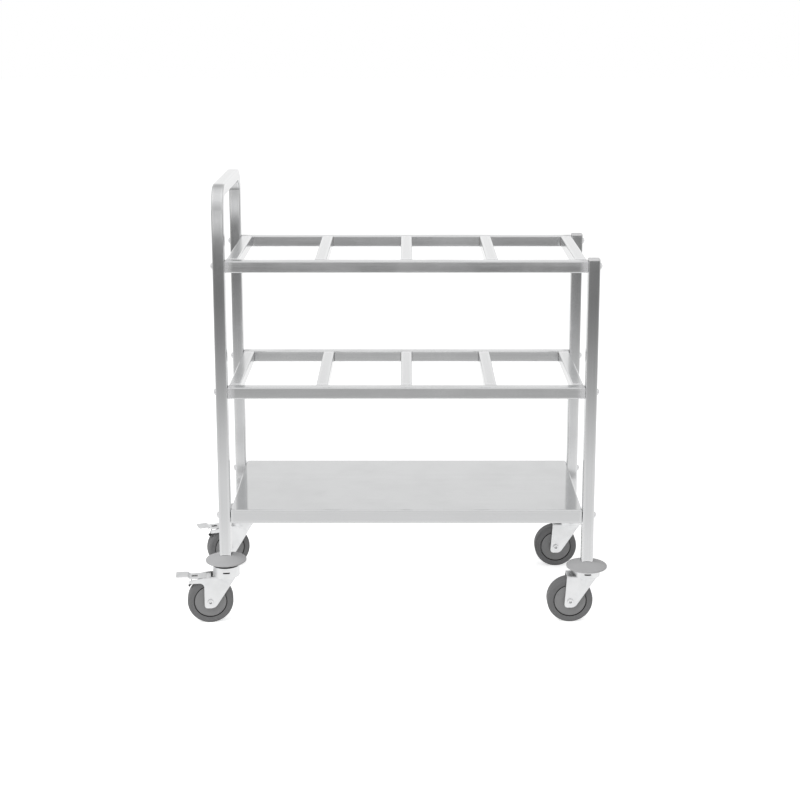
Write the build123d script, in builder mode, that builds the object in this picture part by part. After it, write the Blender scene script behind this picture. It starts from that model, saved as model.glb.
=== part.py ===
"""Gastronorm trolley: a square-tube frame with a bent push handle, two open shelves that carry
container rims, a folded bottom tray and four swivel casters, two of them with a foot brake."""

import os
from math import cos, radians, sin, sqrt

from build123d import *

os.makedirs("parts", exist_ok=True)

# Square tube of the frame
tube = 25.0
tube_wall = 1.5
tube_bend = 1.0  # inside corner radius
tube_corner = tube_bend + tube_wall
tube_inside = tube - 2 * tube_wall

# Frame, outside to outside of the posts, and heights above the floor
frame_length = 816.0
frame_depth = 360.0
shelf_top = 806.0  # rail tops of the upper shelf
shelf_pitch = 274.0
bar_pitch = 182.0
shelf_gap = 1.0  # between a post and the shelf bolted to it
handle_top = 964.0
handle_bend = 37.5  # radius of the tube's centre line

# Caps in the open tops of the right posts
post_rise = 1.0
cap_head = 3.2
cap_edge = 1.5
cap_plug_gap = 2.0  # above the top bolts

# Bottom tray of folded sheet
tray_drop = 30.0
tray_sheet = 1.5
tray_bend = 1.5  # inside radius of the folds
tray_fold = tray_bend + tray_sheet

# Bolts along X through the posts
bolt_diameter = 8.0
bolt_head = 14.0
bolt_head_height = 5.0
bolt_dome = 4.0  # rounding of the head's edge
bolt_socket = 5.0  # across the flats of its hexagon
bolt_socket_depth = 2.6
bolt_fit = 0.2  # radial clearance in the posts
rail_plug_length = 26.0
nut_flats = 13.0
nut_height = 6.5
nut_collar = 11.0
bolt_end = 3.0  # thread past the nut

# Wheel
wheel_diameter = 100.0
wheel_width = 30.0
tread_shoulder = 5.0
core_diameter = 73.0
core_recess = 0.4
groove_width = 2.4
groove_depth = 4.0
hub_diameter = 30.0
axle_diameter = 8.0
axle_head = 13.0
axle_head_height = 4.0
axle_socket = 6.0  # across the flats of its hexagon
axle_socket_depth = 2.5
running_clearance = 0.1
side_clearance = 0.3

# Swivel fork
trail = 36.0  # wheel axle behind the swivel axis
fork_sheet = 2.5
wheel_play = 2.0  # tread to each fork leg
wheel_headroom = 5.5  # tread to the underside of the crown
fork_bend = 1.5  # inside radius of the crown's folds
leg_back = 13.0  # leg edge behind the axle
leg_front = 10.0  # leg edge ahead of the axle, at the leg's end
leg_below = 14.5  # leg end below the axle
leg_round = 7.0  # rounding of the leg's end, at its back
leg_curve = 15.0  # the same at its front
crown_back = 44.0  # crown edge behind the swivel axis, plain caster
crown_end = 30.0  # the same on a braked caster, in front of the lever
cup_diameter = 59.0
cup_wall = 2.5
cup_slot_width = 15.0
cup_slot_height = 3.0
shoulder_drop = 14.0  # of the cone from the cup down to the legs

# Swivel bearing, cap and stem
stem_diameter = 12.0
stem_fit = 0.1
ball_diameter = 5.0
ball_count = 12
ball_clearance = 0.3
race_clearance = 2.0  # race to the cup around it
race_height = 3.0
rivet_diameter = 20.0
rivet_height = 3.5
boss_diameter = 22.0
boss_plain = 3.7  # boss height between race and cap, plain caster
boss_braked = 10.9
cup_gap_plain = 2.0  # cup rim to the bumper above it, plain caster
cup_gap_braked = 9.0
cap_depth = 2.0  # swivel cap below the cup rim
cap_clearance = 0.5  # swivel cap to the cup around it

# Bumper disc between a caster and its post
bumper_diameter = 89.0
bumper_height = 15.5
bumper_rim = 3.5
bumper_edge = 1.2  # rounding of the rim
bumper_crown = 29.0  # flat top around the post
bumper_socket = 1.0
socket_clearance = 0.5
post_plug_length = 40.0

# Foot brake, measured from the swivel axis and the tread
pedal_reach = 110.0
pedal_length = 25.0
pedal_corner = 4.0
pedal_rise = 4.5
pedal_slope = 6.0
lever_sheet = 2.0
lever_play = 1.0
lever_nose = 34.0  # front end of the lever behind the swivel axis
lever_bend = 3.0
lever_lift = 1.0  # lever sheet above its pivot
brake_pivot_back = 46.0
brake_pivot_rise = 3.5  # above the tread's top
brake_pin_diameter = 3.0
brake_pin_head = 5.2
brake_pin_head_height = 1.5
knuckle_wall = 1.4
brake_travel = 8.0  # degrees
brake_clearance = 0.3  # shoe to tread with the pedal down
shoe_thickness = 2.5
shoe_angle = 134.0  # of the shoe round the wheel, degrees
shoe_spread = 11.0
shoe_hold = 3.5  # of that spread bonded to the lever's carrier
shoe_width = 10.0
window_length = 13.0  # hole that the shoe's carrier leaves in the lever
wing_reach = 82.0
wing_flat = 36.0  # where the wing's top edge starts to fall
wing_fall = 8.0
wing_tip = 6.0
wing_arch = 10.0

# Swivel angle of each caster as it stands, degrees
swivel_front_left = 7.0
swivel_rear_left = 21.0
swivel_front_right = 0.0
swivel_rear_right = 0.0

# Heights that follow from the sizes above
wheel_radius = wheel_diameter / 2
crown_under = wheel_diameter + wheel_headroom
crown_top = crown_under + fork_sheet
bearing_height = ball_diameter + ball_clearance + race_height
rim_plain = crown_top + bearing_height + boss_plain + cap_depth
rim_braked = crown_top + bearing_height + boss_braked + cap_depth
head_plain = rim_plain + cup_gap_plain
head_braked = rim_braked + cup_gap_braked
foot_rise = bumper_height - bumper_socket
foot_plain = head_plain + foot_rise
foot_braked = head_braked + foot_rise
middle_top = shelf_top - shelf_pitch
tray_top = middle_top - shelf_pitch
cap_plug = post_rise + tube / 2 - bolt_diameter / 2 - cap_plug_gap
bolt_levels = [shelf_top - tube / 2, middle_top - tube / 2, tray_top - tray_drop / 2]

# Widths that follow
fork_gap = wheel_width + 2 * wheel_play
fork_width = fork_gap + 2 * fork_sheet
hub_length = fork_gap - 2 * side_clearance
race_diameter = cup_diameter - 2 * cup_wall - 2 * race_clearance
ball_ring = race_diameter - 2 * ball_diameter
lever_width = fork_gap - 2 * lever_play
shelf_length = frame_length - 2 * tube - 2 * shelf_gap
bar_length = frame_depth - 2 * tube

# The pedal of the front left caster and the right bumpers end the object, and x = 0 lies midway
pedal_turn = radians(swivel_front_left)
pedal_tip = (pedal_reach - pedal_corner) * cos(pedal_turn) + pedal_corner
pedal_side = (lever_width / 2 - pedal_corner) * sin(pedal_turn)
frame_x = (pedal_tip + pedal_side - bumper_diameter / 2) / 2
post_x = frame_length / 2 - tube / 2
post_y = frame_depth / 2 - tube / 2
left_x = frame_x - post_x
right_x = frame_x + post_x


def write(piece, name):
    """Label a finished piece and write it to its own file."""
    piece.label = name
    export_step(piece, f"parts/{name}.step")


def facing_x(x, y, z):
    """Plane at a point, seen from +X with Y to the right and Z up."""
    return Plane((x, y, z), x_dir=(0, 1, 0), z_dir=(1, 0, 0))


def facing_y(x, y, z):
    """Plane at a point, seen from -Y with X to the right and Z up."""
    return Plane((x, y, z), x_dir=(1, 0, 0), z_dir=(0, -1, 0))


def tube_section():
    """Hollow square section with rounded corners, at the middle of the current sketch."""
    RectangleRounded(tube, tube, tube_corner)
    RectangleRounded(tube_inside, tube_inside, tube_bend, mode=Mode.SUBTRACT)


def bolt_holes(x):
    """Cut the clearance holes of the three shelf levels through the tubes at x."""
    with BuildSketch(Plane.YZ.offset(x)) as holes:
        with Locations(*[(y, z) for y in (-post_y, post_y) for z in bolt_levels]):
            Circle(bolt_diameter / 2 + bolt_fit)
    extrude(holes.sketch, amount=tube, both=True, mode=Mode.SUBTRACT)


# Left posts and push handle, bent from one tube
with BuildPart() as handle_frame:
    with BuildLine(Plane.YZ.offset(left_x)) as handle_route:
        FilletPolyline(
            (-post_y, foot_braked),
            (-post_y, handle_top - tube / 2),
            (post_y, handle_top - tube / 2),
            (post_y, foot_braked),
            radius=handle_bend,
        )
    with BuildSketch(Plane((left_x, -post_y, foot_braked))):
        tube_section()
    sweep(path=handle_route.line)
    bolt_holes(left_x)
write(handle_frame.part, "handle_frame")

# Right posts
for post_name, side in (("front_right_post", -1), ("rear_right_post", 1)):
    with BuildPart() as post:
        with BuildSketch(Plane((right_x, side * post_y, foot_plain))):
            tube_section()
        extrude(amount=shelf_top + post_rise - foot_plain)
        bolt_holes(right_x)
    write(post.part, post_name)

# Square plugs that close the tops of the right posts
with BuildPart() as post_cap:
    with BuildSketch(Plane.XY.offset(shelf_top + post_rise)):
        RectangleRounded(tube, tube, tube_corner)
    extrude(amount=cap_head)
    fillet(post_cap.faces().sort_by(Axis.Z)[-1].edges(), cap_edge)
    with BuildSketch(Plane.XY.offset(shelf_top + post_rise)):
        RectangleRounded(tube_inside, tube_inside, tube_bend)
    extrude(amount=-cap_plug)
with BuildPart() as post_caps:
    with Locations((right_x, -post_y, 0), (right_x, post_y, 0)):
        add(post_cap.part)
write(post_caps.part, "post_caps")

# Two open shelves: long rails front and rear, end rails and cross bars between them
end_rail_x = shelf_length / 2 - tube / 2
for shelf_name, level in (("top", shelf_top), ("middle", middle_top)):
    center_z = level - tube / 2
    for rail_name, y in (("front_rail", -post_y), ("rear_rail", post_y)):
        with BuildPart() as rail:
            with BuildSketch(facing_x(frame_x, y, center_z)):
                tube_section()
            extrude(amount=shelf_length / 2, both=True)
        write(rail.part, f"{shelf_name}_{rail_name}")
    cross_tubes = [
        ("left_rail", -end_rail_x),
        ("left_bar", -bar_pitch),
        ("center_bar", 0),
        ("right_bar", bar_pitch),
        ("right_rail", end_rail_x),
    ]
    for bar_name, offset_x in cross_tubes:
        with BuildPart() as bar:
            with BuildSketch(facing_y(frame_x + offset_x, 0, center_z)):
                tube_section()
            extrude(amount=bar_length / 2, both=True)
        write(bar.part, f"{shelf_name}_{bar_name}")

# Bottom tray: one sheet with its four edges folded down
with BuildPart() as bottom_tray:
    with BuildSketch(Plane((frame_x, 0, tray_top))):
        Rectangle(shelf_length, frame_depth)
    extrude(amount=-tray_drop)
    fillet(bottom_tray.edges().filter_by(Axis.Z), tray_fold)
    fillet(bottom_tray.faces().sort_by(Axis.Z)[-1].edges(), tray_fold)
    offset(
        amount=-tray_sheet,
        openings=bottom_tray.faces().filter_by(GeomType.PLANE).sort_by(Axis.Z)[0],
    )
    with BuildSketch(facing_x(frame_x, 0, tray_top - tray_drop / 2)):
        with Locations((-post_y, 0), (post_y, 0)):
            Circle(nut_collar / 2)
    extrude(amount=shelf_length, both=True, mode=Mode.SUBTRACT)
write(bottom_tray.part, "bottom_tray")


def frame_bolt(length):
    """Domed bolt along +X: its head stands left of x = 0 and its shank right of it."""
    with BuildPart() as bolt:
        with BuildSketch(Plane.YZ):
            Circle(bolt_head / 2)
        extrude(amount=-bolt_head_height)
        fillet(bolt.edges().sort_by(Axis.X)[0], bolt_dome)
        with BuildSketch(Plane.YZ.offset(-bolt_head_height)):
            RegularPolygon(bolt_socket / 2, 6, major_radius=False)
        extrude(amount=bolt_socket_depth, mode=Mode.SUBTRACT)
        with BuildSketch(Plane.YZ):
            Circle(bolt_diameter / 2)
        extrude(amount=length)
    return bolt.part


def bolt_places(levels):
    """Where the bolts stand: heads on the posts' outer faces, shanks pointing inward."""
    left_face = frame_x - frame_length / 2
    right_face = frame_x + frame_length / 2
    places = []
    for z in levels:
        for y in (-post_y, post_y):
            places.append(Location((left_face, y, z)))
            places.append(Location((right_face, y, z), (0, 0, 180)))
    return places


shelf_levels = bolt_levels[:2]
tray_levels = bolt_levels[2:]
shelf_bolt = frame_bolt(tube + rail_plug_length)
tray_bolt = frame_bolt(tube + shelf_gap + tray_sheet + nut_height + bolt_end)
for bolts_name, bolt, levels in (
    ("shelf_bolts", shelf_bolt, shelf_levels),
    ("tray_bolts", tray_bolt, tray_levels),
):
    with BuildPart() as bolts:
        with Locations(*bolt_places(levels)):
            add(bolt)
    write(bolts.part, bolts_name)

# Threaded plugs in the rail ends, proud of the rail by the shelf gap
with BuildPart() as rail_plug:
    with BuildSketch(Plane.YZ.offset(tube)):
        RectangleRounded(tube_inside, tube_inside, tube_bend)
        Circle(bolt_diameter / 2, mode=Mode.SUBTRACT)
    extrude(amount=rail_plug_length)
with BuildPart() as rail_plugs:
    with Locations(*bolt_places(shelf_levels)):
        add(rail_plug.part)
write(rail_plugs.part, "rail_plugs")

# Nuts inside the tray's end folds, their collars proud of the tray by the shelf gap
nut_seat = tube + shelf_gap + tray_sheet
with BuildPart() as tray_nut:
    with BuildSketch(Plane.YZ.offset(nut_seat)):
        RegularPolygon(nut_flats / 2, 6, major_radius=False)
    extrude(amount=nut_height)
    with BuildSketch(Plane.YZ.offset(tube)):
        Circle(nut_collar / 2)
    extrude(amount=shelf_gap + tray_sheet)
    with BuildSketch(Plane.YZ.offset(tube)):
        Circle(bolt_diameter / 2)
    extrude(amount=shelf_gap + tray_sheet + nut_height, mode=Mode.SUBTRACT)
with BuildPart() as tray_nuts:
    with Locations(*bolt_places(tray_levels)):
        add(tray_nut.part)
write(tray_nuts.part, "tray_nuts")

# Caster pieces below stand with the swivel axis on Z and the wheel trailing to -X
axle_back = -trail - leg_back
axle_front = -trail + leg_front
leg_end = wheel_radius - leg_below
leg_top = sqrt((cup_diameter / 2) ** 2 - (fork_width / 2) ** 2)  # where a leg leaves the cup


def fork_channel():
    """Bent channel of the fork, long enough for every outline, under a cone that carries the cup."""
    cone_end = crown_top - shoulder_drop
    with BuildSketch(Plane.XZ) as cone:
        with BuildLine():
            Polyline(
                (0, cone_end),
                (fork_width / 2, cone_end),
                (cup_diameter / 2, crown_top),
                (0, crown_top),
                close=True,
            )
        make_face()
    revolve(cone.sketch, axis=Axis.Z)
    with BuildSketch(Plane.XY.offset(cone_end)) as between:
        Rectangle(cup_diameter, fork_gap)
    extrude(between.sketch, amount=shoulder_drop, mode=Mode.SUBTRACT)
    with BuildSketch(Plane.YZ.offset(cup_diameter / 2)) as channel:
        with BuildLine():
            FilletPolyline(
                (-fork_gap / 2, leg_end),
                (-fork_gap / 2, crown_under),
                (fork_gap / 2, crown_under),
                (fork_gap / 2, leg_end),
                radius=fork_bend,
            )
            offset(amount=fork_sheet, side=Side.LEFT)
        make_face()
    extrude(channel.sketch, amount=-(cup_diameter / 2 + wing_reach))


def fork_cup(rim):
    """Round cup on the crown that houses the swivel bearing, with a slot over each leg."""
    with BuildSketch(Plane.XY.offset(crown_under)) as outside:
        Circle(cup_diameter / 2)
    extrude(outside.sketch, amount=rim - crown_under)
    with BuildSketch(Plane.XY.offset(crown_top)) as inside:
        Circle(cup_diameter / 2 - cup_wall)
    extrude(inside.sketch, amount=rim - crown_top, mode=Mode.SUBTRACT)
    with BuildSketch(Plane.XZ) as slot:
        with Locations((0, (crown_top + rim) / 2)):
            SlotOverall(cup_slot_width, cup_slot_height)
    extrude(slot.sketch, amount=cup_diameter, both=True, mode=Mode.SUBTRACT)
    with BuildSketch(Plane.XY.offset(crown_under)) as stem_hole:
        Circle(stem_diameter / 2 + stem_fit)
    extrude(stem_hole.sketch, amount=fork_sheet, mode=Mode.SUBTRACT)


def axle_holes():
    """Holes for the axle through both legs."""
    with BuildSketch(Plane.XZ) as holes:
        with Locations((-trail, wheel_radius)):
            Circle(axle_diameter / 2)
    extrude(holes.sketch, amount=fork_width, both=True, mode=Mode.SUBTRACT)


with BuildPart() as plain_fork:
    fork_channel()
    with BuildSketch(Plane.XZ) as plain_outline:
        with BuildLine():
            Polyline(
                (leg_top, crown_top),
                (-crown_back, crown_top),
                (axle_back, leg_end),
                (axle_front, leg_end),
                close=True,
            )
        make_face()
        fillet(plain_outline.vertices().group_by(Axis.Y)[0].sort_by(Axis.X)[0], leg_round)
        fillet(plain_outline.vertices().group_by(Axis.Y)[0].sort_by(Axis.X)[-1], leg_curve)
    extrude(amount=fork_width, both=True, mode=Mode.INTERSECT)
    fork_cup(rim_plain)
    axle_holes()

# The braked fork has a wing on each leg that reaches back over the tread and holds the pedal's pin
brake_pivot = (-brake_pivot_back, wheel_diameter + brake_pivot_rise)
wing_top = crown_top - wing_fall
wing_under = wing_top - wing_tip
with BuildPart() as braked_fork:
    fork_channel()
    with BuildSketch(Plane.XZ) as braked_outline:
        with BuildLine():
            Polyline(
                (leg_top, crown_top),
                (-wing_flat, crown_top),
                (-wing_reach, wing_top),
                (-wing_reach, wing_under),
                (axle_back, wing_under),
                (axle_back, leg_end),
                (axle_front, leg_end),
                close=True,
            )
        make_face()
        wing_corner = braked_outline.vertices().group_by(Axis.Y)[1].sort_by(Axis.X)[1]
        fillet(wing_corner, wing_arch)
        fillet(braked_outline.vertices().group_by(Axis.Y)[0].sort_by(Axis.X)[0], leg_round)
        fillet(braked_outline.vertices().group_by(Axis.Y)[0].sort_by(Axis.X)[-1], leg_curve)
    extrude(amount=fork_width, both=True, mode=Mode.INTERSECT)
    with BuildSketch(Plane.XY.offset(crown_top)):
        with Locations((-crown_end, 0)):
            Rectangle(wing_reach, fork_gap, align=(Align.MAX, Align.CENTER))
    extrude(amount=-(fork_sheet + fork_bend), mode=Mode.SUBTRACT)
    fork_cup(rim_braked)
    axle_holes()
    with BuildSketch(Plane.XZ):
        with Locations(brake_pivot):
            Circle(brake_pin_diameter / 2)
    extrude(amount=fork_width, both=True, mode=Mode.SUBTRACT)

# Axle: a bolt between two flat heads outside the legs
with BuildPart() as axle:
    with BuildSketch(Plane.XZ):
        with Locations((-trail, wheel_radius)):
            Circle(axle_diameter / 2)
    extrude(amount=fork_width / 2, both=True)
    for side in (-1, 1):
        with BuildSketch(Plane.XZ.offset(side * fork_width / 2)):
            with Locations((-trail, wheel_radius)):
                Circle(axle_head / 2)
        extrude(amount=side * axle_head_height)
    fillet(axle.faces().sort_by(Axis.Y)[0].edges(), axle_head_height / 2)
    fillet(axle.faces().sort_by(Axis.Y)[-1].edges(), axle_head_height / 2)
    for side in (-1, 1):
        with BuildSketch(Plane.XZ.offset(side * (fork_width / 2 + axle_head_height))):
            with Locations((-trail, wheel_radius)):
                RegularPolygon(axle_socket / 2, 6, major_radius=False)
        extrude(amount=-side * axle_socket_depth, mode=Mode.SUBTRACT)

# Wheel core: a disc with a hub, its rim stepped back at both faces to leave a groove round it
axle_line = Axis((-trail, 0, wheel_radius), (0, 1, 0))
core_radius = core_diameter / 2
core_face = wheel_width / 2 - core_recess
with BuildPart() as wheel_core:
    with BuildSketch(facing_x(-trail, 0, wheel_radius)):
        with BuildLine():
            Polyline(
                (-hub_length / 2, axle_diameter / 2 + running_clearance),
                (-hub_length / 2, hub_diameter / 2),
                (-core_face, hub_diameter / 2),
                (-core_face, core_radius - groove_width),
                (groove_depth - core_face, core_radius - groove_width),
                (groove_depth - core_face, core_radius),
                (0, core_radius),
                (0, axle_diameter / 2 + running_clearance),
                close=True,
            )
        make_face()
        mirror(about=Plane.YZ)
    revolve(axis=axle_line)

# Tread: a ring on the core with rounded shoulders
with BuildPart() as wheel_tread:
    with BuildSketch(facing_x(-trail, 0, wheel_radius)) as tread_section:
        with Locations((0, core_radius)):
            Rectangle(wheel_width, wheel_radius - core_radius, align=(Align.CENTER, Align.MIN))
        fillet(tread_section.vertices().group_by(Axis.Y)[-1], tread_shoulder)
    revolve(axis=axle_line)

# Balls of the swivel bearing, on the crown
with BuildPart() as bearing_balls:
    with Locations((0, 0, crown_top + ball_diameter / 2)):
        with PolarLocations(ball_ring / 2, ball_count):
            Sphere(ball_diameter / 2)


def stem(head, rim):
    """Stem from the rivet under the crown, past the race and the cap, up into the post."""
    race_under = crown_top + ball_diameter + ball_clearance
    rivet_top = crown_under - side_clearance
    cap_under = rim - cap_depth
    with BuildPart() as piece:
        for radius, low, high in (
            (rivet_diameter / 2, rivet_top - rivet_height, rivet_top),
            (stem_diameter / 2, rivet_top, race_under),
            (race_diameter / 2, race_under, race_under + race_height),
            (boss_diameter / 2, race_under + race_height, cap_under),
            (stem_diameter / 2, cap_under, head + foot_rise + post_plug_length),
        ):
            with BuildSketch(Plane.XY.offset(low)):
                Circle(radius)
            extrude(amount=high - low)
    return piece.part


def swivel_cap(head, rim):
    """Disc from inside the cup up to the bumper."""
    with BuildPart() as piece:
        with BuildSketch(Plane.XY.offset(head)):
            Circle(cup_diameter / 2 - cup_wall - cap_clearance)
            Circle(stem_diameter / 2, mode=Mode.SUBTRACT)
        extrude(amount=rim - cap_depth - head)
    return piece.part


def bumper(head):
    """Round cone-topped bumper with a square socket for the post's foot."""
    rim = bumper_diameter / 2
    with BuildPart() as piece:
        with BuildSketch(Plane.XZ) as section:
            with BuildLine():
                Polyline(
                    (0, head),
                    (rim, head),
                    (rim, head + bumper_rim),
                    (bumper_crown / 2, head + bumper_height),
                    (0, head + bumper_height),
                    close=True,
                )
            make_face()
            fillet(section.vertices().group_by(Axis.X)[-1], bumper_edge)
        revolve(axis=Axis.Z)
        with BuildSketch(Plane.XY.offset(head + bumper_height)):
            Rectangle(tube + 2 * socket_clearance, tube + 2 * socket_clearance)
        extrude(amount=-bumper_socket, mode=Mode.SUBTRACT)
        with BuildSketch(Plane.XY.offset(head)):
            Circle(stem_diameter / 2)
        extrude(amount=bumper_height, mode=Mode.SUBTRACT)
    return piece.part


def post_plug(head):
    """Plug in the foot of a post that takes the stem."""
    with BuildPart() as piece:
        with BuildSketch(Plane.XY.offset(head + foot_rise)):
            RectangleRounded(tube_inside, tube_inside, tube_bend)
            Circle(stem_diameter / 2, mode=Mode.SUBTRACT)
        extrude(amount=post_plug_length)
    return piece.part


# Foot brake, drawn with the pedal up: the wheel's center as the lever sees it lies turned back
# about the pin by the pedal's travel, so the shoe meets the tread when the pedal is down
travel = radians(brake_travel)
center_x = brake_pivot_back - trail
center_z = wheel_radius - brake_pivot[1]
shoe_x = brake_pivot[0] + center_x * cos(travel) + center_z * sin(travel)
shoe_z = brake_pivot[1] - center_x * sin(travel) + center_z * cos(travel)
shoe_inside = wheel_radius + brake_clearance
shoe_outside = shoe_inside + shoe_thickness
shoe_start = shoe_angle - shoe_spread / 2
lever_z = brake_pivot[1] + lever_lift
pedal_bend = pedal_reach - pedal_length

with BuildPart() as brake_shoe:
    with BuildSketch(Plane.XZ):
        with BuildLine():
            CenterArc((shoe_x, shoe_z), (shoe_inside + shoe_outside) / 2, shoe_start, shoe_spread)
        trace(line_width=shoe_thickness)
    extrude(amount=shoe_width / 2, both=True)

carrier_radius = shoe_outside + lever_sheet / 2
carrier_x = shoe_x + carrier_radius * cos(radians(shoe_start))
carrier_z = shoe_z + carrier_radius * sin(radians(shoe_start))
knuckle_bore = brake_pin_diameter / 2 + running_clearance
with BuildPart() as brake_lever:
    with BuildSketch(Plane.XZ):
        with BuildLine():
            FilletPolyline(
                (-lever_nose, lever_z),
                (-pedal_bend + pedal_slope, lever_z),
                (-pedal_bend, lever_z + pedal_rise),
                (-pedal_reach, lever_z + pedal_rise),
                radius=lever_bend,
            )
        trace(line_width=lever_sheet)
    extrude(amount=lever_width / 2, both=True)
    fillet(brake_lever.edges().filter_by(Axis.Z).group_by(Axis.X)[0], pedal_corner)
    with BuildSketch(Plane.XY.offset(lever_z)):
        with Locations((carrier_x + lever_sheet / 2, 0)):
            Rectangle(window_length, shoe_width, align=(Align.MIN, Align.CENTER))
    extrude(amount=lever_sheet, both=True, mode=Mode.SUBTRACT)
    with BuildSketch(Plane.XZ):
        with BuildLine():
            Line((carrier_x, lever_z), (carrier_x, carrier_z))
            CenterArc((shoe_x, shoe_z), carrier_radius, shoe_start, shoe_hold)
        trace(line_width=lever_sheet)
    extrude(amount=shoe_width / 2, both=True)
    with BuildSketch(Plane.XZ):
        with Locations(brake_pivot):
            Circle(knuckle_bore + knuckle_wall)
    extrude(amount=lever_width / 2, both=True)
    with BuildSketch(Plane.XZ):
        with Locations(brake_pivot):
            Circle(knuckle_bore)
    extrude(amount=lever_width, both=True, mode=Mode.SUBTRACT)

with BuildPart() as brake_pin:
    with BuildSketch(Plane.XZ):
        with Locations(brake_pivot):
            Circle(brake_pin_diameter / 2)
    extrude(amount=fork_width / 2, both=True)
    for side in (-1, 1):
        with BuildSketch(Plane.XZ.offset(side * fork_width / 2)):
            with Locations(brake_pivot):
                Circle(brake_pin_head / 2)
        extrude(amount=side * brake_pin_head_height)

# Each caster in its place, turned to its swivel angle
stems = []
post_plugs = []
for corner, x, y, swivel, braked in (
    ("front_left", left_x, -post_y, swivel_front_left, True),
    ("rear_left", left_x, post_y, swivel_rear_left, True),
    ("front_right", right_x, -post_y, swivel_front_right, False),
    ("rear_right", right_x, post_y, swivel_rear_right, False),
):
    head, rim = (head_braked, rim_braked) if braked else (head_plain, rim_plain)
    fixed = Location((x, y, 0))
    turned = Location((x, y, 0), (0, 0, swivel))
    stems.append(stem(head, rim).moved(fixed))
    post_plugs.append(post_plug(head).moved(fixed))
    write(bumper(head).moved(fixed), f"bumper_{corner}")
    write(swivel_cap(head, rim).moved(fixed), f"swivel_cap_{corner}")
    fork = braked_fork if braked else plain_fork
    write(fork.part.moved(turned), f"fork_{corner}")
    write(bearing_balls.part.moved(turned), f"bearing_balls_{corner}")
    write(axle.part.moved(turned), f"axle_{corner}")
    write(wheel_core.part.moved(turned), f"wheel_core_{corner}")
    write(wheel_tread.part.moved(turned), f"wheel_tread_{corner}")
    if braked:
        write(brake_lever.part.moved(turned), f"brake_lever_{corner}")
        write(brake_shoe.part.moved(turned), f"brake_shoe_{corner}")
        write(brake_pin.part.moved(turned), f"brake_pin_{corner}")

with BuildPart() as caster_stems:
    add(stems)
write(caster_stems.part, "caster_stems")
with BuildPart() as foot_plugs:
    add(post_plugs)
write(foot_plugs.part, "post_plugs")
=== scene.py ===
"""Gastronorm trolley: finishes, welds and studio around its CAD frame."""

from math import pi, radians

import bmesh
import bpy
from bpy.props import FloatProperty, FloatVectorProperty, IntProperty, PointerProperty
from bpy.types import Operator, Panel, PropertyGroup
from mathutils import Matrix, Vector


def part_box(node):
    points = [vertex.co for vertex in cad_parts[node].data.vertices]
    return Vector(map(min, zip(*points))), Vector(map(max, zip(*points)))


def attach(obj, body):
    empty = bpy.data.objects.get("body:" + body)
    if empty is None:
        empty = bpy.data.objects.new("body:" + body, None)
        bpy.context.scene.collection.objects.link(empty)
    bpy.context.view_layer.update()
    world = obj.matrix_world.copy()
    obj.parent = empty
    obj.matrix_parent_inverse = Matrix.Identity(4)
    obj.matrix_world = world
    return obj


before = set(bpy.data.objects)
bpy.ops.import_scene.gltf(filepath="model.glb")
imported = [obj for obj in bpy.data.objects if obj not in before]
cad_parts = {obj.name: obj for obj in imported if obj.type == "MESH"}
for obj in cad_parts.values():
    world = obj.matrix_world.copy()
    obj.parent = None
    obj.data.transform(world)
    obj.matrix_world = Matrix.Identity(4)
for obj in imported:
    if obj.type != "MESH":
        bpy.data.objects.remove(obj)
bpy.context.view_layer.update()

bl_info = {
    "name": "Gastronorm Trolley",
    "version": (1, 0, 0),
    "blender": (4, 5, 0),
    "location": "3D View > Sidebar > Trolley",
    "description": "Dresses an open gastronorm trolley and sets up its studio",
    "category": "Object",
}

BRAKED = ("front_left", "rear_left")
CASTERS = BRAKED + ("front_right", "rear_right")
SHELVES = ("top", "middle")
LONG_RAILS = ("front_rail", "rear_rail")
CROSS_TUBES = ("left_rail", "left_bar", "center_bar", "right_bar", "right_rail")
X_AXIS, Y_AXIS, Z_AXIS = range(3)

# Grey levels that steel reflects: of the floor by the distance in front of the trolley, in metres,
# and of the sky from the front horizon, 0, over the zenith, 0.5, to the back horizon, 1
FLOOR_LEVELS = ((0.0, 1.0), (0.5, 0.95), (0.7, 0.86), (1.03, 0.84), (1.5, 0.66), (2.1, 0.46), (2.75, 0.32),
                (3.5, 0.24), (4.5, 0.22), (5.2, 0.24), (5.4, 0.4), (5.65, 1.0), (6.1, 1.0), (6.4, 0.62))
FLOOR_SPAN = 6.5
SKY_LEVELS = ((0.0, 0.62), (0.02, 0.75), (0.13, 0.97), (0.35, 1.0), (0.62, 0.85), (0.8, 0.62), (0.91, 0.62),
              (0.976, 0.92), (0.994, 1.0))

# Where those levels begin and end to give way to one level at the sides, and that level: the floor by
# the distance from the middle, in metres, and the sky by how far a direction points sideways
FLOOR_SIDES = (1.4, 3.4, 0.56)
SKY_SIDES = (0.8, 1.0, 0.52)

# Floor and lamps of the studio, in metres
FLOOR_HALF = 20.0
FLOOR_COLOR = (0.85, 0.85, 0.85, 1.0)
LAMP_SIZE = 2.0
KEY_PLACE = (-1.9, -1.5, 2.5)
FILL_PLACE = (2.4, -1.2, 1.8)
WHITE = (1.0, 1.0, 1.0, 1.0)

# Colours that wear, grinding and heat give a surface, with the ground ends lighter as a painted highlight, the
# near blacks of the painted shade in crevices and gaps, and the weld colours darkened as painted shade
STEEL_EDGE = (0.86, 0.86, 0.87, 1.0)
# Lighter colour of the ground tube ends, painted as a highlight
STEEL_END_HIGHLIGHT = (0.78, 0.78, 0.79, 1.0)
PLATED_EDGE = (0.95, 0.95, 0.95, 1.0)
# Near blacks that plated and moulded parts take as painted shade in crevices and gaps
PLATED_SHADE = (0.05, 0.05, 0.05, 1.0)
MOULDED_SHADE = (0.012, 0.012, 0.012, 1.0)
# The weld colours are darkened as painted shade of the corners where the beads sit
SHADED_WELD_METAL = (0.36, 0.36, 0.37, 1.0)
SHADED_WELD_HEAT = (0.28, 0.25, 0.22, 1.0)

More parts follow.
